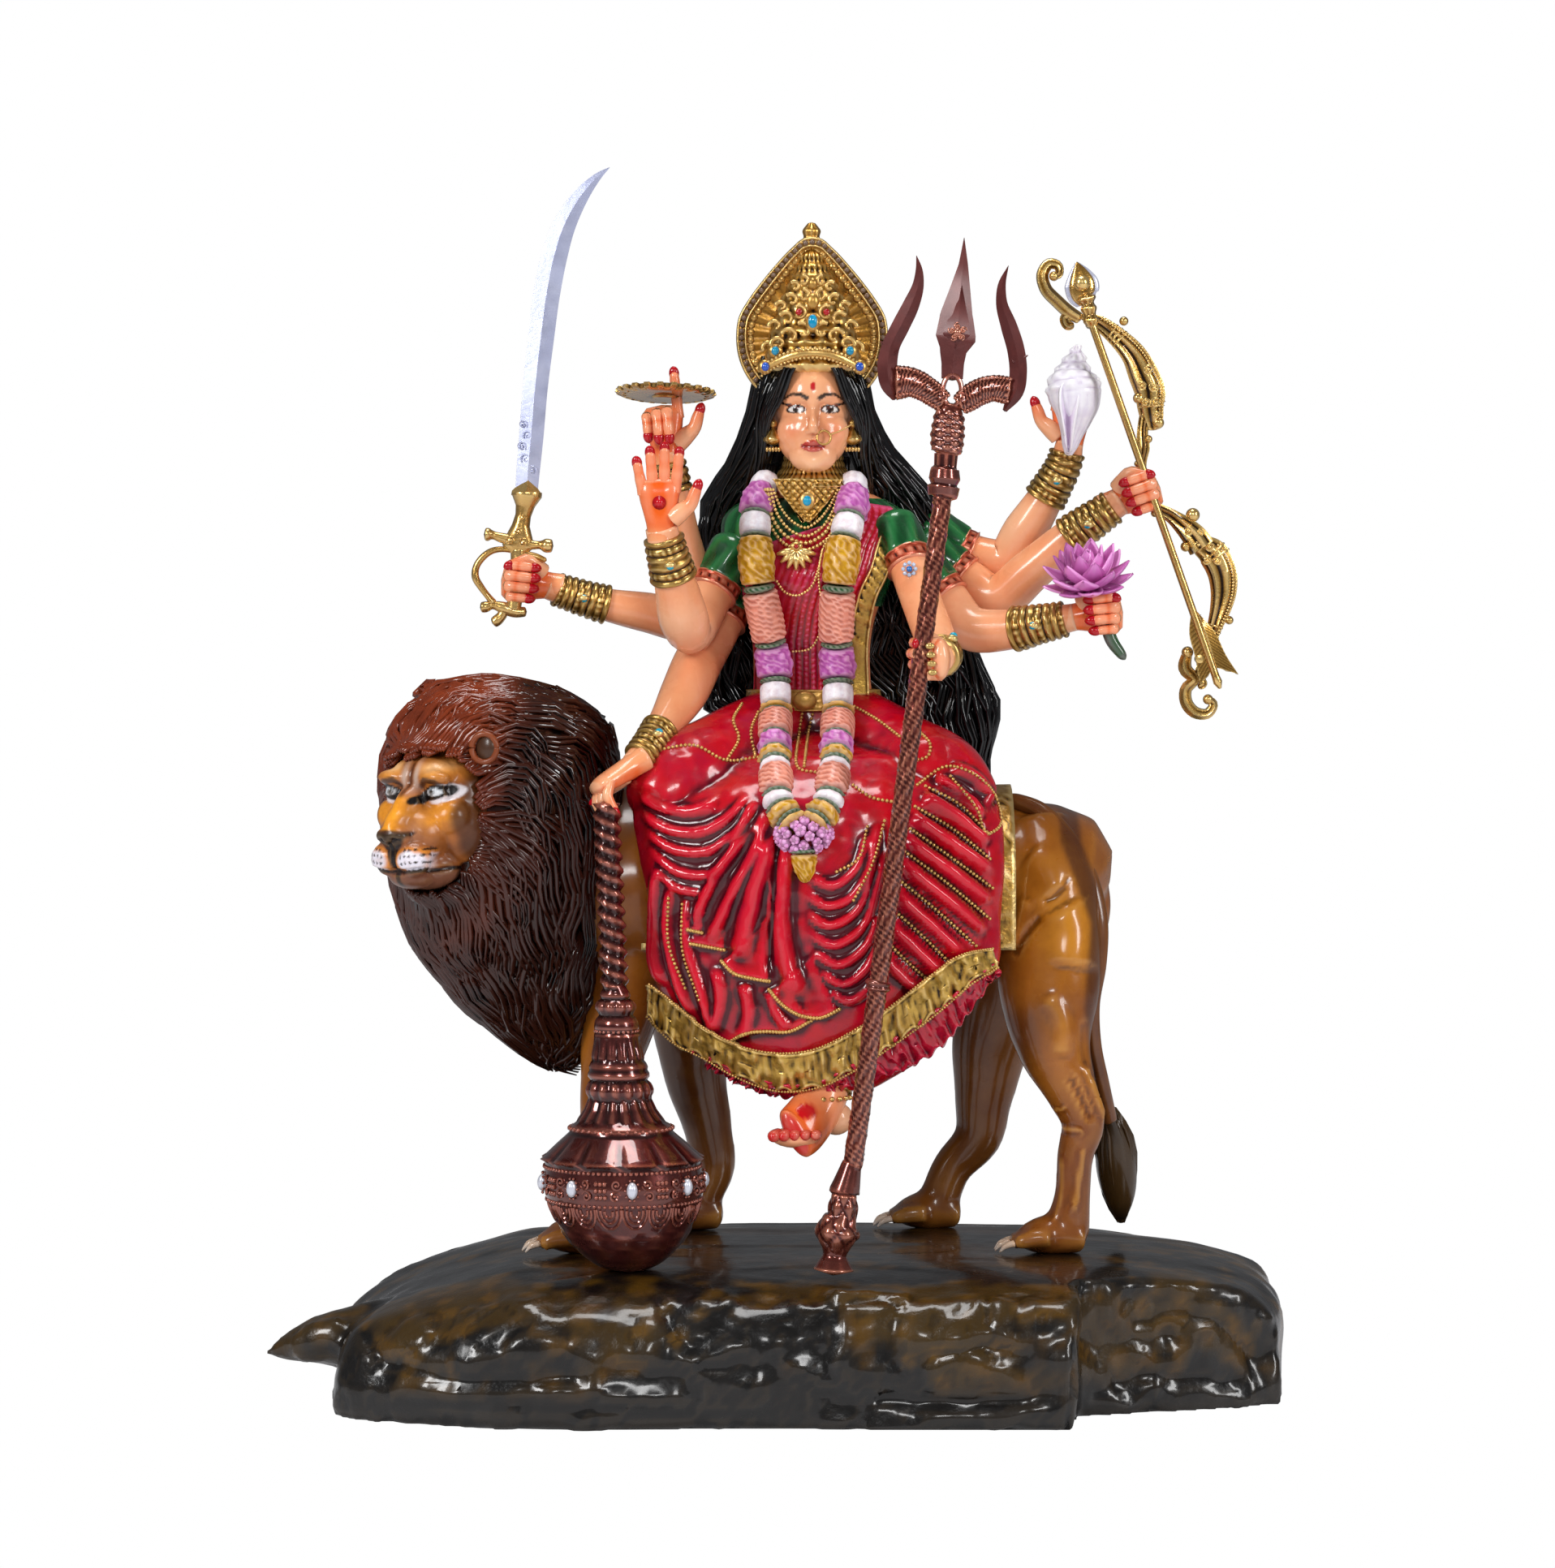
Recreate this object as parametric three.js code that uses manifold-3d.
// A painted resin statue: an eight-armed goddess seated sideways on a standing lion, on a rock.
// Millimetres, +Z up, the viewer's side is -Y. The origin is the middle of the rock's underside.
// The sword, discus, mace, trident, bow with arrow, conch and lotus are castings of their own.
import * as THREE from "three";
import { mergeVertices } from "three/addons/utils/BufferGeometryUtils.js";
import Module from "manifold-3d";

const wasm = await Module();
wasm.setup();

// Driving dimensions.
const ROCK_LENGTH = 373;
const ROCK_DEPTH = 206;
const ROCK_HEIGHT = 51;
const FIGURE_HEIGHT = 380; // from the rock's top to the tip of the crown
const CLEARANCE = 0.3; // glue gap between separate castings
const SHAFT_DIAMETER = 6.4; // trident
const TRIDENT_LENGTH = 366;
const TRIDENT_SPAN = 52;
const PRONG_THICKNESS = 5;
const GRIP_DIAMETER = 6; // sword
const BLADE_LENGTH = 118;
const BLADE_WIDTH = 8.4;
const BLADE_THICKNESS = 2.4;
const DISC_DIAMETER = 37;
const DISC_THICKNESS = 3;
const DISC_TEETH = 16;
const MACE_HEAD_DIAMETER = 57;
const MACE_HANDLE_DIAMETER = 8.6;
const ARROW_DIAMETER = 3.6;
const BOW_THICKNESS = 5;
const STEM_DIAMETER = 5;
const CROWN_PLATE_THICKNESS = 5;
const FINGER_DIAMETER = 4.2;
const HAND_WIDTH = 15;

// The pose is listed in millimetres of a figure 380 mm high, and follows FIGURE_HEIGHT.
const UNIT = FIGURE_HEIGHT / 380;
const VIEWER = new THREE.Vector3(0, -1, 0);
const UP = new THREE.Vector3(0, 0, 1);

const vec = (x, y, z) => new THREE.Vector3(x, y, z);
const posed = (x, y, z) => vec(x, y, z).multiplyScalar(UNIT);

// A three.js geometry as a closed solid.
function solid(geometry) {
  const bare = new THREE.BufferGeometry().setAttribute("position", geometry.getAttribute("position").clone());
  if (geometry.index) bare.setIndex(geometry.index);
  const merged = mergeVertices(bare, 1e-4);
  return new wasm.Manifold(
    new wasm.Mesh({
      numProp: 3,
      vertProperties: new Float32Array(merged.attributes.position.array),
      triVerts: new Uint32Array(merged.index.array),
    }),
  );
}

const fuse = (...solids) => solids.flat().reduce((all, one) => all.add(one));
const cut = (from, ...tools) => tools.flat().reduce((left, tool) => left.subtract(tool), from);

// The solid's largest piece, without the crumbs that a cut may leave.
function largest(body) {
  return body.decompose().sort((a, b) => b.volume() - a.volume())[0];
}

// A solid as a named mesh in its paint.
function meshOf(name, body, material) {
  const made = body.getMesh();
  const geometry = new THREE.BufferGeometry();
  geometry.setAttribute("position", new THREE.BufferAttribute(new Float32Array(made.vertProperties), 3));
  geometry.setIndex(new THREE.BufferAttribute(new Uint32Array(made.triVerts), 1));
  geometry.computeVertexNormals();
  const mesh = new THREE.Mesh(geometry, material);
  mesh.name = name;
  return mesh;
}

// A limb or lock: a sphere whose parallels are drawn out along a curve through the stations.
// A station is [x, y, z, half width, half depth]; facing is the side that the depth is measured to.
// A level sweep keeps its sections flat, whichever way its middle wanders.
function swept(stations, options = {}) {
  const scaled = stations.map(([x, y, z, wide, deep = wide]) => [x, y, z, wide, deep].map((n) => n * UNIT));
  return sweptExact(scaled, options);
}

// The same with stations in true millimetres, for what has sizes of its own.
function sweptExact(stations, options = {}) {
  const { sides = 8, rings = stations.length, facing = VIEWER } = options;
  const { level = false, grow = 0, carve = () => 1 } = options;
  const spine = new THREE.CatmullRomCurve3(stations.map(([x, y, z]) => vec(x, y, z)), false, "centripetal");
  const upright = vec(0, 0, Math.sign(stations.at(-1)[2] - stations[0][2]));
  const girth = (t, k) => {
    const at = Math.min(t * (stations.length - 1), stations.length - 1.000001);
    const i = Math.floor(at);
    const near = stations[i][k] ?? stations[i][3];
    const far = stations[i + 1][k] ?? stations[i + 1][3];
    return THREE.MathUtils.lerp(near, far, at - i) + grow;
  };
  const geometry = new THREE.SphereGeometry(1, sides, rings + 1);
  const place = geometry.getAttribute("position");
  for (let i = 0; i < place.count; i++) {
    const row = Math.floor(i / (sides + 1));
    const angle = (2 * Math.PI * ((i % (sides + 1)) % sides)) / sides;
    const t = THREE.MathUtils.clamp((row - 1) / (rings - 1), 0, 1);
    const centre = spine.getPoint(t);
    const along = level ? upright : spine.getTangent(t);
    const front = facing.clone().addScaledVector(along, -facing.dot(along)).normalize();
    const side = new THREE.Vector3().crossVectors(along, front);
    const pole = row === 0 ? -1 : row === rings + 1 ? 1 : 0;
    if (pole) {
      centre.addScaledVector(along, pole * 0.45 * Math.min(girth(t, 3), girth(t, 4)));
    } else {
      const scale = carve(t, angle);
      centre.addScaledVector(side, Math.cos(angle) * girth(t, 3) * scale);
      centre.addScaledVector(front, Math.sin(angle) * girth(t, 4) * scale);
    }
    place.setXYZ(i, centre.x, centre.y, centre.z);
  }
  return solid(geometry);
}

// An egg-shaped mass, turned about the vertical by degrees.
function blob([x, y, z], [rx, ry, rz], { sides, rings, yaw, grow }) {
  const geometry = new THREE.SphereGeometry(1, sides, rings).rotateX(Math.PI / 2);
  geometry.scale(rx * UNIT + grow, ry * UNIT + grow, rz * UNIT + grow);
  geometry.rotateZ(THREE.MathUtils.degToRad(yaw));
  const at = posed(x, y, z);
  return solid(geometry.translate(at.x, at.y, at.z));
}

// A turned piece standing on +Z at a point: the profile is [radius, height] from the bottom up.
function turned(profile, foot, segments) {
  const points = profile.map(([r, h]) => new THREE.Vector2(r, h));
  const geometry = new THREE.LatheGeometry(points, segments).rotateX(Math.PI / 2);
  return solid(geometry.translate(foot.x, foot.y, foot.z));
}

// A flat outline in the figure's XZ plane, given a thickness in depth and centred on y.
function plate(points, y, thickness) {
  const shape = new THREE.Shape(points.map(([x, z]) => new THREE.Vector2(x, z)));
  const geometry = new THREE.ExtrudeGeometry(shape, { depth: thickness, bevelEnabled: false });
  return solid(geometry.rotateX(Math.PI / 2).translate(0, y + thickness / 2, 0));
}

// The rock: a flattened block with a worn top. Its left end slopes down to a spike, and its
// right end is set back in front.
const ROCK_SQUARENESS = 0.4;
const ROCK_LEDGE = 2.2;
const SPIKE_LENGTH = 22;
const SPIKE_ROOT = 18; // how far it reaches into the block
const SPIKE_Y = -34;
const SPIKE_UP = 20; // above the underside
const SLOPE_START = -95; // where the top begins to fall towards the left
const SLOPE = 0.2;
const SET_BACK = [
  [102, -120], [109, -72], [150, -66], [200, -44], [200, -120],
]; // plan of the missing right front
const WORN_BACK = [
  [-60, 120], [-70, 92], [-130, 52], [-200, 24], [-200, 120],
]; // and of the missing left back

function rockBlock(raise = 0) {
  const half = { x: (ROCK_LENGTH - SPIKE_LENGTH) / 2, y: ROCK_DEPTH / 2, z: ROCK_HEIGHT };
  const geometry = new THREE.SphereGeometry(1, 26, 10).rotateX(Math.PI / 2);
  const place = geometry.getAttribute("position");
  const square = (n, e) => Math.sign(n) * Math.abs(n) ** e;
  for (let i = 0; i < place.count; i++) {
    const [sx, sy, sz] = [place.getX(i), place.getY(i), place.getZ(i)];
    const flat = Math.hypot(sx, sy) || 1;
    const reach = square(Math.min(flat, 1), ROCK_SQUARENESS);
    const turn = Math.atan2(sy, sx);
    const lump = 1 + 0.018 * Math.sin(5 * turn + 1) + 0.014 * Math.sin(9 * turn);
    const wall = 1 + (ROCK_LEDGE / half.y) * Math.sin(7 * sz + 3 * turn);
    const wide = half.x * square(Math.cos(turn), 0.5) * reach * lump * wall;
    const x = THREE.MathUtils.clamp(wide, -half.x, half.x) + SPIKE_LENGTH / 2;
    const deep = half.y * square(Math.sin(turn), 0.55) * reach * lump * wall;
    const fall = SLOPE * Math.max(0, SLOPE_START - x);
    const share = square(Math.max(sz, 0), ROCK_SQUARENESS);
    const z = half.z * (share - 1) - fall * share;
    place.setXYZ(i, x, THREE.MathUtils.clamp(deep, -half.y, half.y), z + raise);
  }
  return solid(geometry);
}

// A block that cuts the rock away over an outline in plan.
function notch(plan) {
  const shape = new THREE.Shape(plan.map(([x, y]) => new THREE.Vector2(x, y)));
  const geometry = new THREE.ExtrudeGeometry(shape, { depth: 2 * ROCK_HEIGHT, bevelEnabled: false });
  return solid(geometry.translate(0, 0, -1.5 * ROCK_HEIGHT));
}

function rockSpike() {
  const tip = -ROCK_LENGTH / 2;
  const stations = [
    [tip, SPIKE_Y, SPIKE_UP - 4, 0.6, 2],
    [tip + SPIKE_LENGTH, SPIKE_Y, SPIKE_UP, 8, 14],
    [tip + SPIKE_LENGTH + SPIKE_ROOT, SPIKE_Y, SPIKE_UP, 11, 20],
  ];
  return sweptExact(
    stations.map(([x, y, up, wide, deep]) => [x, y, up - ROCK_HEIGHT, wide, deep]),
    { sides: 6, rings: 3 },
  );
}

const rock = (raise = 0) => fuse(cut(rockBlock(raise), notch(SET_BACK), notch(WORN_BACK)), rockSpike());

// The lion. Its flank is turned to the viewer, and its head looks a little to the viewer's left.
const TRUNK = [
  [126, 22, 126.3, 9, 18], [113.3, 22, 132.4, 25.5, 33.5], [94.9, 20, 132.5, 31.9, 35],
  [67.4, 18, 128.1, 32.8, 35],
  [37.1, 18, 126.6, 34, 36], [0.6, 18, 129.6, 35.8, 37], [-29.7, 16, 132.7, 37.9, 38],
  [-59.9, 10, 131.6, 39.2, 37.7],
  [-80.6, 2, 127.5, 30, 33],
];
const MANE = [
  [-108, -2, 203, 22, 24], [-104, -2, 199, 34, 36], [-102, -3, 188, 41, 44], [-102, -5, 172, 43, 48],
  [-101, -6, 148, 41, 48],
  [-100.5, -6, 127, 37.5, 43], [-99, -5, 112, 34, 38], [-93, -3, 95, 26, 30], [-88, -1, 82, 18, 21],
  [-81, 0, 71, 8.5, 10],
  [-78, 0, 65, 2, 3],
];
const MANE_LOCKS = 11; // broad locks that hang round the mane
const LOCK_DEPTH = 0.045;
const NEAR_HIND_LEG = [
  [99, 6, 156, 15, 10], [104, 0, 138, 23, 17], [105.7, -6, 116.3, 22.4, 17],
  [101.8, -12, 92.8, 20.2, 15], [101.7, -16, 72.1, 14.2, 12],
  [110.1, -18, 53.6, 9.5, 8.3], [112.1, -18, 44.7, 8.6, 7.7], [108.4, -18, 30.3, 7.1, 7.1],
  [107.2, -18, 15.4, 7.1, 7.4], [105.4, -18, 6, 8.9, 8.3],
];
const FAR_HIND_LEG = [
  [99.4, 40, 128.1, 21.6, 15.4], [90.4, 46, 96.8, 19.2, 13.9], [81.3, 50, 68.7, 14.9, 12.4],
  [78.8, 50, 50, 11.8, 9.9],
  [76.7, 50, 34.5, 9.9, 8.7], [66.4, 50, 22, 8, 7.4], [62.1, 50, 11.1, 8, 7.7], [59.6, 50, 5, 8.7, 8.7],
];
const FAR_FORE_LEG = [
  [-33.4, 38, 103.2, 18.5, 15.4], [-32.8, 44, 78.2, 15.4, 13], [-31, 46, 56.5, 11.7, 10.5],
  [-26.6, 46, 38, 9.3, 8.6],
  [-24.5, 46, 22.5, 8, 8], [-27.9, 46, 12, 6.8, 7.4], [-29.7, 46, 4.5, 7.4, 8],
];
const NEAR_FORE_LEG = [
  [-56.2, -6, 107.2, 18.5, 14.3], [-58.5, -10, 86.5, 14.9, 12.5], [-61.9, -14, 66, 10.7, 10.1],
  [-64.3, -17, 42.3, 8.3, 8.3], [-65.5, -18, 24.4, 7.1, 7.4], [-67.9, -18, 8, 7.7, 8.3],
];
const PAW_LENGTH = 24;
const PAWS = [[104, -18], [61, 50], [-30, 46], [-69, -18]]; // ankles, in plan
const TAIL = [
  [112.8, 22, 152.7, 4.3], [123.2, 24, 132.3, 3.7], [126.6, 24, 114, 3], [124, 22, 92.7, 2.6],
  [121, 20, 71.5, 2.6],
  [122.2, 20, 53.2, 2.8], [125.1, 22, 37.7, 4],
];
const TUFT = [[124.5, 22, 43.8, 3.6], [126.5, 24, 28.3, 7.3], [128.5, 26, 15.8, 5.5], [129.8, 26, 8, 1.5]];
const SKULL = [-121.5, -42, 166];
const HEAD_YAW = 33; // degrees from the viewer towards the viewer's left
const CLOTH_EDGES = [-49.8, 87.1]; // the saddle cloth's two ends along the lion
const CLOTH_HEM = 111;
const CLOTH_THICKNESS = 2;
const BACK_MIDDLE = { y: 18, z: 131 }; // of the trunk's section under the cloth
const BACK_RADIUS = 37;

// A place on the lion's head: forward, to the viewer's right, and up from the middle of its skull.
function onLionHead(forward, across, up) {
  const [x, y, z] = SKULL;
  const yaw = THREE.MathUtils.degToRad(HEAD_YAW);
  const [sin, cos] = [Math.sin(yaw), Math.cos(yaw)];
  return [x - forward * sin + across * cos, y - forward * cos - across * sin, z + up];
}

function lionHead(grow) {
  const part = (at, size, sides = 5, rings = 4) =>
    blob(onLionHead(...at), size, { sides, rings, yaw: -HEAD_YAW, grow });
  const pair = (forward, across, up, size) => [1, -1].map((s) => part([forward, s * across, up], size));
  return fuse(
    part([0, 0, 0], [20, 21, 20], 10, 6),
    part([15, 0, -5], [8.5, 14, 9], 6),
    part([28.5, 0, -11.5], [6.2, 4, 4.2]),
    part([22, 0, -27], [8, 8, 5]),
    part([8, 0, -19], [16, 17, 11], 8, 4),
    pair(24.5, 6, -19.5, [6.2, 7.5, 7]),
    pair(6, 12, -8, [10, 13, 12]),
    pair(-8, 16, 21, [5.5, 3.5, 6]),
  );
}

function paw([ankleX, ankleY], grow) {
  const rest = 5;
  const toes = Array.from({ length: 9 }, (_, k) => {
    const toe = k % 2;
    const girth = toe ? [5, 6.5] : [3.4, 4.6];
    return [ankleX - 0.7 * PAW_LENGTH - toe, ankleY - 3 + 2.1 * (k - 4), rest - 0.6, ...girth];
  });
  const pad = swept(
    [
      [ankleX + 8, ankleY, rest, 5.5, 7.5], [ankleX - 6, ankleY - 1, rest + 1, 7, 8.5],
      [ankleX - 15, ankleY - 3, rest, 4.4, 8],
    ],
    { sides: 6, grow },
  );
  return fuse(pad, swept(toes, { sides: 4, facing: vec(-1, 0, 0), grow }));
}

function saddleCloth(grow) {
  const [left, right] = CLOTH_EDGES;
  const over = [];
  const reach = BACK_RADIUS + CLOTH_THICKNESS;
  const arc = 10;
  for (let k = 0; k <= arc; k++) {
    const turn = Math.PI * (1 - k / arc);
    over.push([BACK_MIDDLE.y + reach * Math.cos(turn), BACK_MIDDLE.z + reach * Math.sin(turn)]);
  }
  over.push([BACK_MIDDLE.y + reach, CLOTH_HEM], [BACK_MIDDLE.y - reach, CLOTH_HEM]);
  const shape = new THREE.Shape(over.map(([y, z]) => new THREE.Vector2(y * UNIT, z * UNIT)));
  const long = (right - left) * UNIT + 2 * grow;
  const geometry = new THREE.ExtrudeGeometry(shape, { depth: long, bevelEnabled: false });
  geometry.rotateX(Math.PI / 2).rotateZ(Math.PI / 2).translate(left * UNIT - grow, 0, 0);
  return solid(geometry);
}

function lion(grow = 0) {
  const lock = (t, angle) => 1 + LOCK_DEPTH * Math.cos(MANE_LOCKS * angle + 3 * t);
  return fuse(
    swept(TRUNK, { sides: 12, rings: 8, grow }),
    swept(MANE, { sides: 2 * MANE_LOCKS, rings: 9, level: true, grow, carve: lock }),
    lionHead(grow),
    swept(NEAR_HIND_LEG, { sides: 8, grow }),
    swept(FAR_HIND_LEG, { sides: 6, rings: 7, grow }),
    swept(FAR_FORE_LEG, { sides: 6, rings: 6, grow }),
    swept(NEAR_FORE_LEG, { sides: 6, grow }),
    PAWS.map((ankle) => paw(ankle, grow)),
    swept(TAIL, { sides: 5, grow }),
    swept(TUFT, { sides: 6, grow }),
    saddleCloth(grow),
  );
}

// The goddess.
const TORSO = [
  [15.7, 8, 186, 33.2, 24.1], [13.5, 5, 199.7, 23.5, 18.7], [12.6, 3, 214.7, 21.6, 16.5],
  [12.6, 2, 229.7, 22.8, 18.6],
  [12.6, 1, 246.2, 28.5, 22.8], [13.5, 2, 261.2, 33.6, 18.5], [14.1, 4, 273.2, 30, 14],
  [13.8, 5, 282.4, 14, 11],
  [13.5, 4, 290.8, 9.8, 9.8], [13.5, 3, 298, 9.6, 9.6],
];
const HEAD = [
  [12.6, -3, 284.6, 6.5, 7], [12.6, -3, 292, 11.8, 13], [13, -2, 303, 14.6, 16.5],
  [13.2, -1, 315, 15, 18], [13, 1, 327, 12.5, 15.5],
];
const HAIR = [
  [12.6, 6, 328.9, 17.5, 15.1], [12.7, 10, 311.1, 21, 14.5], [13.6, 18, 293.3, 27.9, 12.1],
  [16.4, 24, 275.4, 43.7, 11.6],
  [18.9, 26, 251.1, 48.3, 12.2], [21.3, 26, 223.7, 50.2, 12.8], [28, 26, 199.3, 54.3, 12.2],
  [41.7, 26, 179.6, 36.5, 10.4],
  [58.4, 26, 170.5, 21.3, 9.1],
];
const HAIR_LOCKS = 9;
const HAIR_LOCK_DEPTH = 0.07;
const THIGHS = [
  [[2.1, 0, 189.2, 18.6], [-20.1, -22, 179.4, 18.3], [-37.5, -38, 169.6, 17.4], [-45.1, -44, 162.5, 13]],
  [[26.1, 0, 189.2, 18.6], [45.1, -18, 179.2, 18.4], [60.8, -32, 170.9, 17.6], [70.2, -38, 162.4, 13]],
];
const SKIRT = [
  [13.9, -18, 182.2, 44.5, 26.7], [13.8, -36, 166.5, 65.2, 26], [15.8, -43, 147.7, 66, 22.5],
  [17.5, -44, 124.4, 63, 21.6],
  [16.7, -44, 103.9, 61.9, 21], [14.6, -44, 86.4, 49.6, 19.3], [14, -44, 71.7, 36, 16.3],
  [13.5, -44, 63, 22, 12],
];
const SKIRT_PLEATS = 8; // folds over the skirt's front
const PLEAT_DEPTH = 0.055;
const GARLAND_STRANDS = [
  [
    [-3.9, -4, 283.3, 4.8], [-7.7, -17, 272.6, 5.3], [-8, -24, 259.1, 5.6], [-7.1, -26, 245.8, 5.6],
    [-3.8, -22, 229.6, 5.6],
    [-1.2, -19, 214.9, 5.6], [-0.6, -22, 200.1, 5.3], [-0.9, -36, 187, 5.3], [-0.6, -50, 175.6, 5.3],
    [1.2, -62, 164.3, 5.5],
    [8.7, -67, 157, 5.8],
  ],
  [
    [28, -4, 283.3, 4.8], [27.2, -16, 272.6, 5.3], [24.2, -24, 259.1, 5.6], [22.4, -26, 245.8, 5.6],
    [21.5, -22, 229.6, 5.6],
    [21.9, -19, 214.9, 5.6], [22.1, -22, 200.1, 5.3], [21.4, -36, 187, 5.3], [20.1, -50, 175.6, 5.3],
    [17.1, -62, 164.3, 5.5],
    [9.8, -67, 157, 5.8],
  ],
];
const PENDANT = [[9.2, -67, 157.4, 7.5], [9.2, -67, 147.4, 4.6], [9.8, -66, 138.7, 1.2]];
const FOOT = [
  [22.5, -46, 72, 7, 7], [21, -50, 60.6, 6.4, 6.6], [17.6, -54, 53.4, 6.2, 6.6],
  [7.8, -60, 49.8, 4.6, 7.2], [-2.3, -64, 47.2, 2.4, 5.4],
];
const CROWN_HALF_WIDTH = 27.4;
const CROWN_BASE = 314;

const ARMS = {
  sword: [
    [-12, 14, 258, 7.9], [-21.6, 16, 236.8, 7.9], [-33.1, 12, 231.5, 7.9], [-47.6, 8, 234.3, 7.5],
    [-64, 4, 237.5, 6], [-78, 2, 241.7, 5.1], [-85, 0, 244.1, 4.8],
  ],
  palm: [
    [-13.5, -2, 262.2, 8.1], [-23.9, -8, 241.6, 8.1], [-31.5, -20, 227.1, 8], [-34.1, -31, 232.5, 9.1],
    [-36.8, -40, 244.8, 7.6], [-40.2, -46, 258.1, 6.1], [-41.6, -48, 264.5, 5.8],
  ],
  disc: [
    [-12.9, 5, 259.7, 7.2], [-20.5, 6, 243.8, 7.2], [-27, 3, 238.2, 7.2], [-33.4, -6, 256.5, 6.6],
    [-38, -12, 280.2, 5.4], [-40.4, -14, 292.9, 4.8],
  ],
  mace: [
    [-12.1, 12, 252.9, 7.9], [-20.1, 6, 231.7, 7.8], [-28.6, -6, 217.3, 9], [-34.4, -20, 204.5, 8.6],
    [-41.1, -33, 193.5, 6.2], [-47.6, -44, 184.4, 5], [-51.4, -49, 179.7, 4.7],
  ],
  trident: [
    [41, -2, 270, 8.1], [47.8, -12, 253.4, 7.9], [52.4, -22, 238.5, 7.4], [56.9, -34, 225.2, 7.3],
    [58.8, -46, 219.1, 6.4], [57.8, -57, 217.6, 5],
  ],
  lotus: [
    [47.8, 6, 257.8, 8.1], [62.2, 2, 239.2, 8.4], [70.9, -4, 228.7, 8.4], [84, -10, 227.9, 7.5],
    [97.1, -16, 230.3, 5.9], [108.6, -19, 232.6, 5],
  ],
  bow: [
    [50.7, 16, 262, 7.9], [71.2, 14, 245.9, 8.2], [80.5, 10, 239.9, 8.5], [93.7, 4, 249.8, 8.1],
    [108.3, -2, 262.6, 6.6], [120.6, -6, 271.4, 5.4], [126, -7, 275.2, 5.1],
  ],
  conch: [
    [52, 22, 268.7, 7.9], [75.6, 22, 255.1, 7.9], [85, 20, 253.9, 8.2], [92, 16, 264.5, 8.2],
    [100.2, 12, 278, 6.6], [106.5, 8, 290.5, 5.4], [108.3, 7, 297.3, 5.1],
  ],
};
const BANGLE_RELIEF = 1.4; // how far the bangles stand out from the last stretch of each forearm
const BANGLED = 2; // stations of it

// A hand: where it starts, which way it points, which way the palm looks, the thumb's side, and
// each finger's bend in degrees at its three joints.
const FIST = [78, 92, 62];
const OPEN = [4, 6, 8];
const RESTING = [50, 34, 16];
const CUPPED = [10, 24, 20];
const closed = [FIST, FIST, FIST, FIST];
const HANDS = {
  sword: { wrist: [-84, 0, 244.3], point: [-1, 0, 0.12], palm: [0, -1, 0], thumb: 1, bends: closed },
  palm: {
    wrist: [-41.8, -49, 264], point: [-0.04, -0.08, 1], palm: [0, -1, -0.08], thumb: 1,
    bends: [OPEN, OPEN, OPEN, OPEN],
  },
  disc: {
    wrist: [-40.6, -14, 292], point: [-0.1, 0, 1], palm: [0, -1, 0], thumb: 1,
    bends: [OPEN, FIST, FIST, FIST],
  },
  mace: {
    wrist: [-51.4, -50, 179.5], point: [-0.66, -0.3, -0.42], palm: [0.5, 0, -0.86], thumb: -1,
    bends: [RESTING, RESTING, RESTING, RESTING],
  },
  trident: { wrist: [57.5, -57, 217.5], point: [0, -1, 0], palm: [-1, 0, 0], thumb: -1, bends: closed },
  lotus: { wrist: [108, -19, 232.6], point: [1, 0, 0.1], palm: [0, -1, 0], thumb: -1, bends: closed },
  bow: { wrist: [123.5, -6, 274.4], point: [0.94, 0, 0.34], palm: [0, -1, 0], thumb: -1, bends: closed },
  conch: {
    wrist: [108.3, 8, 296], point: [0.06, 0.05, 1], palm: [0, -1, 0], thumb: -1,
    bends: [CUPPED, CUPPED, CUPPED, CUPPED],
  },
};
const PALM_LENGTH = 15.5;
const GRIP_AT = 11.5; // from the wrist to the middle of what a fist holds
const GRIP_DEPTH = 4.6;
const FINGER_LENGTHS = [15, 16.5, 15.5, 12.5];
const PHALANGES = [0.45, 0.32, 0.23];

// A direction bent from point towards palm.
function bent(point, palm, degrees) {
  const a = THREE.MathUtils.degToRad(degrees);
  return point.clone().multiplyScalar(Math.cos(a)).addScaledVector(palm, Math.sin(a));
}

function handFrame({ wrist, point, palm }) {
  const along = vec(...point).normalize();
  const inward = vec(...palm).addScaledVector(along, -vec(...palm).dot(along)).normalize();
  return { start: posed(...wrist), along, inward, across: new THREE.Vector3().crossVectors(along, inward) };
}

// The middle of what a fist holds.
function gripOf(name) {
  const { start, along, inward } = handFrame(HANDS[name]);
  return start.addScaledVector(along, GRIP_AT).addScaledVector(inward, GRIP_DEPTH);
}

// One finger, from its knuckle through its three bones.
function finger(name, k, grow = 0) {
  const { thumb, bends } = HANDS[name];
  const { start, along, inward, across } = handFrame(HANDS[name]);
  const spread = thumb * (1.5 - k) * 0.25 * HAND_WIDTH;
  const at = start.addScaledVector(along, PALM_LENGTH - 1.5).addScaledVector(across, spread);
  const r = FINGER_DIAMETER / 2;
  const stations = [[...at.toArray(), r]];
  let total = 0;
  bends[k].forEach((more, joint) => {
    total += more;
    at.addScaledVector(bent(along, inward, total), PHALANGES[joint] * FINGER_LENGTHS[k]);
    stations.push([...at.toArray(), r * (0.95 - 0.1 * joint)]);
  });
  return sweptExact(stations, { sides: 4, rings: 3, facing: across, grow });
}

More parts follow.
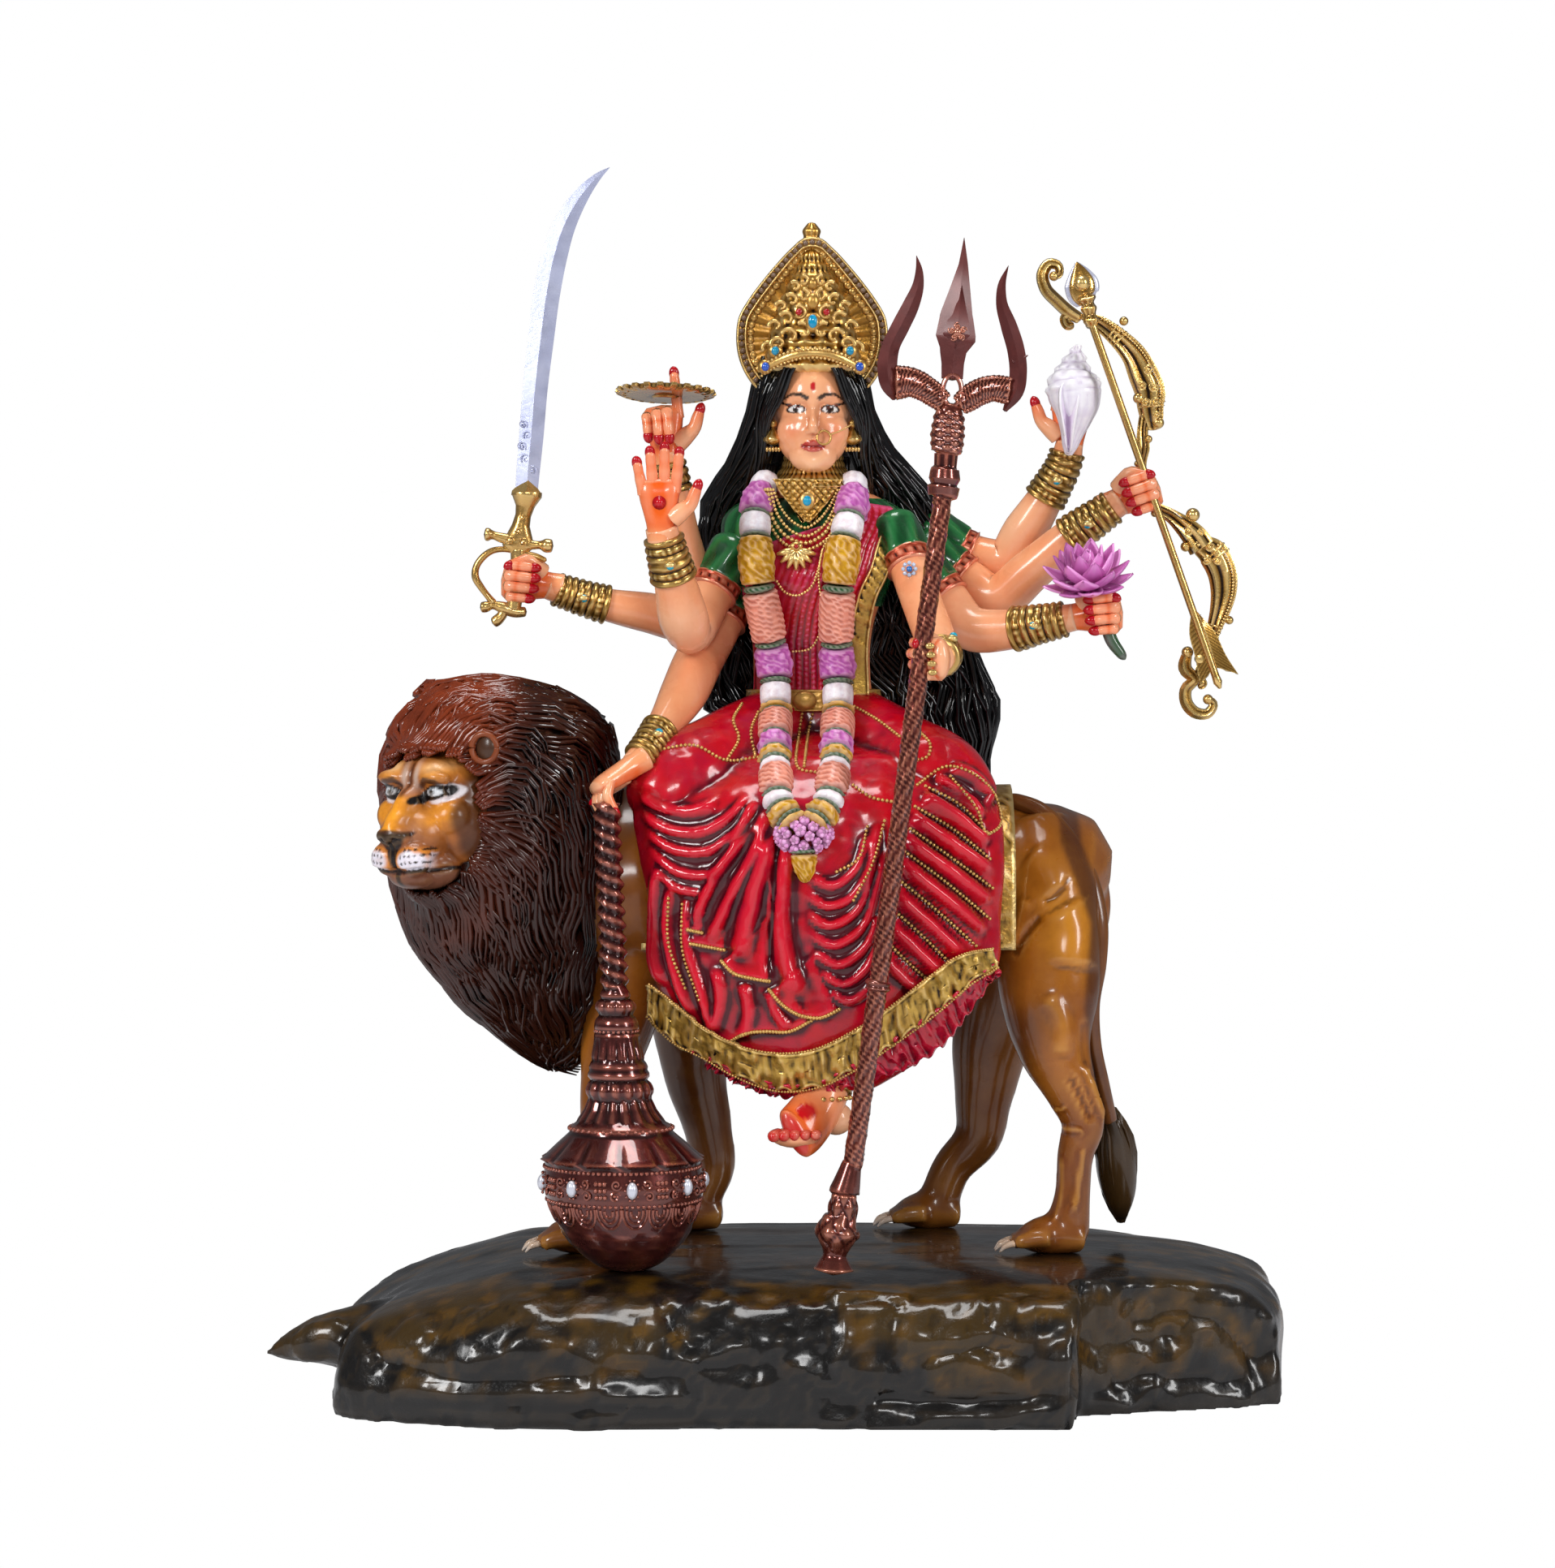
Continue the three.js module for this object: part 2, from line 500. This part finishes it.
// Fingers closed round a grip: one roll with a lobe for each.
function closedFingers(name, first) {
  const { thumb } = HANDS[name];
  const { across } = handFrame(HANDS[name]);
  const grip = gripOf(name);
  const count = 2 * (4 - first) + 1;
  const stations = Array.from({ length: count }, (_, k) => {
    const side = thumb * (2 - first - k / 2) * 0.25 * HAND_WIDTH;
    const r = GRIP_DIAMETER / 2 + FINGER_DIAMETER * (k % 2 ? 0.85 : 0.6);
    return [...grip.clone().addScaledVector(across, side).toArray(), r];
  });
  return sweptExact(stations, { sides: 5, facing: handFrame(HANDS[name]).inward });
}

// An arm with its hand: the forearm is thicker where the bangles are, and widens into the palm.
function arm(name) {
  const { thumb, bends } = HANDS[name];
  const { start, along, inward, across } = handFrame(HANDS[name]);
  const place = (forward, side, deep) =>
    start.clone().addScaledVector(along, forward).addScaledVector(across, side).addScaledVector(inward, deep);
  const limb = ARMS[name].map(([x, y, z, r], k, all) => {
    const worn = k >= all.length - BANGLED ? BANGLE_RELIEF : 0;
    return [...posed(x, y, z).toArray(), r * UNIT + worn, r * UNIT + worn];
  });
  const palm = [[5, 0.38, 4.3], [PALM_LENGTH, 0.46, 3.2]].map(([forward, wide, deep]) => [
    ...place(forward, 0, 0).toArray(),
    wide * HAND_WIDTH,
    deep,
  ]);
  const open = bends.filter((bend) => bend !== FIST).length;
  const fingers = bends.slice(0, open).map((bend, k) => finger(name, k));
  const rolls = open < bends.length ? [closedFingers(name, open)] : [];
  const tip = open
    ? place(PALM_LENGTH - 2, thumb * 0.86 * HAND_WIDTH, 3.5)
    : place(PALM_LENGTH - 2, thumb * 0.46 * HAND_WIDTH, 8);
  const root = place(4, thumb * 0.34 * HAND_WIDTH, 1);
  const middle = root.clone().lerp(tip, 0.55).addScaledVector(across, thumb * 1.2);
  const girths = [1.3, 1.15, 0.9].map((share) => (share * FINGER_DIAMETER) / 2);
  const thumbStations = [root, middle, tip].map((p, k) => [...p.toArray(), girths[k]]);
  return fuse(
    sweptExact([...limb, ...palm], { sides: 6, facing: inward }),
    fingers,
    rolls,
    sweptExact(thumbStations, { sides: 4, facing: inward }),
  );
}

// Half the crown plate's outline, [share of half width, height above its base], mirrored about the head.
const CROWN_OUTLINE = [
  [0.6, 0], [0.8, 5.5], [0.96, 14], [1, 23], [0.97, 29], [0.84, 35.5], [0.68, 41.5], [0.5, 47.5],
  [0.3, 53.5], [0.14, 57.5],
];

function crown() {
  const middle = 12.8;
  const right = CROWN_OUTLINE.map(([share, up]) => [middle + share * CROWN_HALF_WIDTH, CROWN_BASE + up]);
  const left = right.map(([x, z]) => [2 * middle - x, z]).reverse();
  const outline = [...right, ...left].map(([x, z]) => [x * UNIT, z * UNIT]);
  const cap = swept(
    [
      [13, -5, 322, 18, 17], [13, -6, 334, 17.4, 15], [13, -4, 346, 13.6, 11], [12.8, 1, 357, 8.6, 7],
      [12.6, 6, 368, 4.5, 5], [12.5, 8, 377, 3.6, 4],
    ],
    { sides: 10 },
  );
  return fuse(plate(outline, 8 * UNIT, CROWN_PLATE_THICKNESS), cap);
}

function face() {
  return fuse(
    swept(HEAD, { sides: 10, rings: 6 }),
    swept([[12.8, -17.4, 311, 1.2, 2.4], [12.8, -19.8, 302.5, 2.6, 2.8]], { sides: 5, rings: 2 }),
    swept([[12.8, -16, 292, 3.6, 2.2], [12.8, -15, 287.5, 3.4, 3]], { sides: 6, rings: 2 }),
  );
}

function goddess() {
  const locks = (t, angle) => 1 + HAIR_LOCK_DEPTH * Math.cos(HAIR_LOCKS * angle + 4 * t);
  const pleats = (t, angle) => {
    const deep = angle < Math.PI ? PLEAT_DEPTH : 0; // the back stays smooth
    return 1 + deep * Math.cos(2 * SKIRT_PLEATS * angle + 2.5 * t);
  };
  return fuse(
    swept(TORSO, { sides: 12, rings: 8, level: true }),
    face(),
    crown(),
    swept(HAIR, { sides: 2 * HAIR_LOCKS, rings: 8, level: true, carve: locks }),
    THIGHS.map((thigh) => swept(thigh, { sides: 8 })),
    swept(SKIRT, { sides: 4 * SKIRT_PLEATS, rings: 8, level: true, carve: pleats }),
    Object.keys(ARMS).map(arm),
    GARLAND_STRANDS.map((strand) => swept(strand, { sides: 5, rings: 8 })),
    swept(PENDANT, { sides: 5 }),
    swept(FOOT, { sides: 7 }),
  );
}

// The sword: a curved blade rising from a waisted hilt, with a knuckle bow round the fist.
const BLADE_ROOT = 34; // above the middle of the grip
function sword(grow = 0) {
  const grip = gripOf("sword");
  const rod = (points, sides = 5) =>
    sweptExact(points.map(([x, z, r]) => [grip.x + x, grip.y, grip.z + z, r]), { sides, grow });
  const lean = (t) => 4.4 + 11.5 * t + 19 * t ** 8;
  const rings = 10;
  const blade = Array.from({ length: rings + 1 }, (_, k) => {
    const t = k / rings;
    const taper = t < 0.8 ? 1 : Math.max(0.05, (1 - t) / 0.2);
    const place = [grip.x + lean(t), grip.y, grip.z + BLADE_ROOT + t * BLADE_LENGTH];
    return [...place, (BLADE_WIDTH / 2) * taper, (BLADE_THICKNESS / 2) * Math.sqrt(taper)];
  });
  return fuse(
    sweptExact(blade, { sides: 4, grow }),
    rod([[0, -12, GRIP_DIAMETER / 2], [2, 18, GRIP_DIAMETER / 2]], 8),
    rod([[1.5, 13, 5], [3.4, 26, 3.1], [4.5, 33.5, 5.9], [5.2, 39, 2]], 8),
    rod([[-10, 18, 2.4], [2, 15.6, 2.8], [14, 13.6, 2.4]]),
    rod([
      [11, 8.6, 1.6], [0, 11.2, 1.8], [-8.5, 12.6, 1.7], [-14, 8.5, 1.6], [-16.3, 3, 1.6],
      [-15, -2.5, 1.6], [-10.5, -8.5, 2],
    ]),
    rod([[-13, -9.5, 2.8], [-3, -10.4, 3.2], [6, -9.4, 2.8]]),
    rod([[-8, -15, 2.6], [-3, -10.4, 2.6]]),
  );
}

// The discus: a toothed wheel that spins on the raised finger.
const DISC_TILT = -8;
const DISC_HEIGHT = 22; // above the wrist
function discus() {
  const { start } = handFrame(HANDS.disc);
  const outline = new THREE.Shape();
  for (let k = 0; k < 2 * DISC_TEETH; k++) {
    const turn = (Math.PI * k) / DISC_TEETH;
    const r = (DISC_DIAMETER / 2) * (k % 2 ? 0.95 : 1);
    outline[k ? "lineTo" : "moveTo"](r * Math.cos(turn), r * Math.sin(turn));
  }
  outline.closePath();
  const geometry = new THREE.ExtrudeGeometry(outline, { depth: DISC_THICKNESS * 0.5, bevelEnabled: false });
  const hub = new THREE.LatheGeometry(
    [
      [0, -1.2], [4.6, -1.2], [5.4, 0.4], [5, DISC_THICKNESS], [0, DISC_THICKNESS],
    ].map(([r, h]) => new THREE.Vector2(r, h)),
    10,
  ).rotateX(Math.PI / 2);
  const placed = (piece) => {
    piece.rotateX(THREE.MathUtils.degToRad(DISC_TILT));
    return solid(piece.translate(start.x - 0.6, start.y - 0.4, start.z + DISC_HEIGHT));
  };
  return fuse(placed(geometry), placed(hub));
}

// The mace: a long handle on a lobed neck and a melon-shaped head, standing on the rock under her palm.
const MACE_AT = posed(-56.2, -60, 0);
const MACE_TOP = 167 * UNIT;
const MACE_LEAN = 1.6; // of the handle's top towards the lion
function mace(grow = 0) {
  const R = MACE_HEAD_DIAMETER / 2;
  const h = MACE_HANDLE_DIAMETER / 2;
  const head = [
    [0, -1], [0.2 * R, -0.5], [0.55 * R, 5], [0.85 * R, 14], [0.97 * R, 24], [R, 30], [0.95 * R, 38],
    [0.98 * R, 43],
    [0.72 * R, 50], [0.5 * R, 55], [0.36 * R, 60], [0.4 * R, 66], [0.32 * R, 71], [0.33 * R, 78],
    [0.26 * R, 88], [0.3 * R, 90],
    [0.22 * R, 95], [0.15 * R, 100], [0, 104],
  ].map(([r, z]) => [r + (r ? grow : 0), z]);
  const handle = sweptExact(
    [[MACE_AT.x, MACE_AT.y, 97, h], [MACE_AT.x - MACE_LEAN, MACE_AT.y, MACE_TOP - 2, h]],
    { sides: 8, grow },
  );
  return fuse(turned(head, MACE_AT, 12), handle);
}

// The trident: it stands on the rock, and its shaft passes through the fist.
const TRIDENT_FOOT = posed(20.7, -74, 1.5);
const SHAFT_OFFSET = vec(-3.9, -2.5, 0); // from the middle of the fist to the shaft
function trident(grow = 0) {
  const grip = gripOf("trident").add(SHAFT_OFFSET);
  const along = grip.clone().sub(TRIDENT_FOOT).normalize();
  const side = new THREE.Vector3().crossVectors(VIEWER, along).normalize().negate();
  const r = SHAFT_DIAMETER / 2;
  const at = (up, across, wide, deep = wide) => [
    ...TRIDENT_FOOT.clone().addScaledVector(along, up).addScaledVector(side, across).toArray(),
    wide,
    deep,
  ];
  const L = TRIDENT_LENGTH;
  const half = TRIDENT_SPAN / 2;
  const flat = PRONG_THICKNESS / 2;
  const prong = (s) => {
    const stations = [
      at(L - 64, 0, 4.6, flat),
      at(L - 59, s * half * 0.45, 4.2, flat),
      at(L - 58, s * half * 0.8, 4, flat),
      at(L - 47, s * half * 0.97, 3.2, flat),
      at(L - 34, s * half * 0.74, 2.6, flat),
      at(L - 20, s * half * 0.56, 2.2, flat * 0.8),
      at(L - 5, s * half * 0.6, 0.4, 0.4),
    ];
    return sweptExact(stations, { sides: 5, rings: 8, grow });
  };
  const rod = (...girths) => sweptExact(girths.map(([up, wide]) => at(up, 0, wide)), { sides: 7, grow });
  const foot = rod([-1, 5.2], [4, 4], [9, 7.4], [17, 5.6], [26, 4.2], [31, 5.6], [40, r]);
  const shaft = rod([36, r], [L - 92, r], [L - 88, r * 1.7], [L - 80, r * 1.2], [L - 72, r * 1.8], [L - 60, r * 1.5]);
  const ring = rod([98, r], [101, r * 1.5], [104, r]);
  const middle = sweptExact(

    [at(L - 66, 0, 5, flat), at(L - 50, 0, 4, flat), at(L - 36, 0, 7.4, flat), at(L - 16, 0, 4, flat), at(L, 0, 0.3)],
    { sides: 6, rings: 6, grow },
  );
  return fuse(foot, shaft, ring, middle, prong(1), prong(-1));
}

// The bow and its arrow, cast as one and held where the bow is thinnest.
const BOW_LIMBS = [
  [[-31, 74, 0.7], [-36, 76, 0.9], [-35, 81, 0.7], [-30, 79, 0.5]],
  [
    [-31, 74, 0.7], [-36, 70, 0.8], [-26, 62, 0.8], [-15, 62, 0.9], [-6, 58, 1.1], [2, 47, 1.3],
    [6, 34, 1.4], [4, 22, 1.1], [-1, 11, 0.6], [0, 0, 0.6],
  ],
  [
    [0, 0, 0.6], [8, -11, 0.7], [19, -17, 1.1], [27, -29, 1.4], [30, -41, 1.3], [28, -53, 0.9],
    [21.5, -62, 0.7], [16.5, -72, 0.75], [20, -83, 0.75], [26, -84, 0.6], [25, -79, 0.5],
  ],
];
const ARROW_AHEAD = 7.4; // the arrow lies this far in front of the bow
const FEATHER_THICKNESS = 1.6;
function bow(grow = 0) {
  const grip = gripOf("bow");
  const front = grip.y - ARROW_AHEAD / 2 + 1; // the arrow's plane
  const back = grip.y + ARROW_AHEAD / 2; // the bow's plane
  const at = ([x, z], y, wide, deep = wide) => [grip.x + x, y, grip.z + z, wide, deep];
  const limb = (points) => {
    const stations = points.map(([x, z, share]) => at([x, z], back, share * BOW_THICKNESS, 0.5 * BOW_THICKNESS));
    return sweptExact(stations, { sides: 4, grow });
  };
  const rod = (points) => sweptExact(points.map(([x, z, r]) => at([x, z], front, r)), { sides: 6, grow });
  const r = ARROW_DIAMETER / 2;
  const shaft = rod([[-20, 62, r], [0, 1, r], [26, -69, r]]);
  const head = rod([[-19.6, 61, 3], [-20.5, 68, 3.4], [-22, 76, 4.6], [-23.6, 84, 0.6]]);
  const outline = [[18, -50], [34.5, -70], [27, -68], [22, -76], [17.5, -62]];
  const feathers = plate(outline.map(([x, z]) => [grip.x + x, grip.z + z]), front, FEATHER_THICKNESS);
  const bridge = (x, z) =>
    sweptExact([at([x, z], front, 2), at([x, z], back, 2)], { sides: 6, rings: 2, facing: UP, grow });
  return fuse(
    BOW_LIMBS.map(limb),
    shaft,
    head,
    feathers,
    bridge(-19.8, 61.5),
    bridge(0.5, 0),
    bridge(20.5, -61),
  );
}

// The conch lies upright on the palm, with its spire on top.
const WHORL_DEPTH = 0.09; // of the spire's steps
const SPIRE = 0.45; // its share of the length
function conch(grow = 0) {
  const shell = [
    [109.3, -2, 332.6, 0.9], [108.7, -2, 324.7, 5.8], [108, -3, 315.7, 9.8],
    [109.2, -3, 309.8, 9], [108.2, -2, 301.3, 6], [106.3, -1, 293, 2.6],
  ];
  const whorls = (t) => 1 + (t < SPIRE ? WHORL_DEPTH * Math.cos(40 * t) : 0);
  return swept(shell, { sides: 10, rings: 8, grow, carve: whorls });
}

// The lotus: rings of petals on a bent stem.
const PETAL_RINGS = [[7, 66, 17.5], [5, 34, 17]]; // petals, lean in degrees, length
function lotus(grow = 0) {
  const grip = gripOf("lotus");
  const r = STEM_DIAMETER / 2;
  const stem = [[7, -18, r * 0.7], [4, -12, r], [1, -4, r], [-1, 6, r], [-5, 12, r]];
  const heart = grip.clone().add(vec(-6, 0, 11));
  const raised = (up, wide) => [heart.x, heart.y, heart.z + up, wide];
  const petal = (turn, lean, length) => {
    const tilt = THREE.MathUtils.degToRad(lean);
    const out = vec(Math.cos(turn) * Math.sin(tilt), Math.sin(turn) * Math.sin(tilt), Math.cos(tilt));
    const outside = vec(Math.cos(turn), Math.sin(turn), -0.4).normalize();
    const at = (share, wide, deep) => [...heart.clone().addScaledVector(out, length * share).toArray(), wide, deep];
    return sweptExact([at(0.15, 2, 1.4), at(0.62, 4, 1.3), at(1, 0.4, 0.5)], { sides: 4, facing: outside });
  };
  const petals = PETAL_RINGS.flatMap(([count, lean, length], ring) =>
    Array.from({ length: count }, (_, k) => petal((2 * Math.PI * (k + 0.5 * ring)) / count, lean, length)),
  );
  return fuse(
    sweptExact(stem.map(([x, z, wide]) => [grip.x + x, grip.y, grip.z + z, wide]), { sides: 6, grow }),
    sweptExact([raised(0, 4.4), raised(8, 5), raised(14, 1.5)], { sides: 6, grow }),
    petals,
  );
}

// Paints.
const paint = (color, roughness, metalness = 0) =>
  new THREE.MeshStandardMaterial({ color, roughness, metalness });
const PAINTS = {
  rock: paint(0x2e2118, 0.25),
  lion: paint(0xa8621c, 0.35),
  goddess: paint(0xb3122e, 0.3),
  steel: paint(0xc9cbd4, 0.35, 0.6),
  gold: paint(0xb58a3a, 0.35, 0.7),
  copper: paint(0x5a2a22, 0.3, 0.6),
  shell: paint(0xf1ecf2, 0.4),
  petal: paint(0xd35bb0, 0.35),
};

// Assembly: each casting is cut back where the next one meets it, which leaves the glue gap.
const ground = rock(CLEARANCE);
const rockSolid = rock();
const lionSolid = largest(cut(lion(), ground));
const held = [sword, mace, trident, bow, lotus, conch].map((make) => make(CLEARANCE));
const goddessSolid = largest(cut(goddess(), lion(CLEARANCE), held));
const discSolid = largest(cut(discus(), finger("disc", 0, CLEARANCE)));

const onRock = new THREE.Group();
onRock.position.z = ROCK_HEIGHT;
onRock.add(
  meshOf("rock_base", rockSolid, PAINTS.rock),
  meshOf("lion", lionSolid, PAINTS.lion),
  meshOf("goddess", goddessSolid, PAINTS.goddess),
  meshOf("sword", sword(), PAINTS.steel),
  meshOf("discus", discSolid, PAINTS.gold),
  meshOf("mace", largest(cut(mace(), ground)), PAINTS.copper),
  meshOf("trident", largest(cut(trident(), ground)), PAINTS.copper),
  meshOf("bow_and_arrow", bow(), PAINTS.gold),
  meshOf("conch", conch(), PAINTS.shell),
  meshOf("lotus", lotus(), PAINTS.petal),
);
const statue = new THREE.Group();
statue.add(onRock);
export default statue;
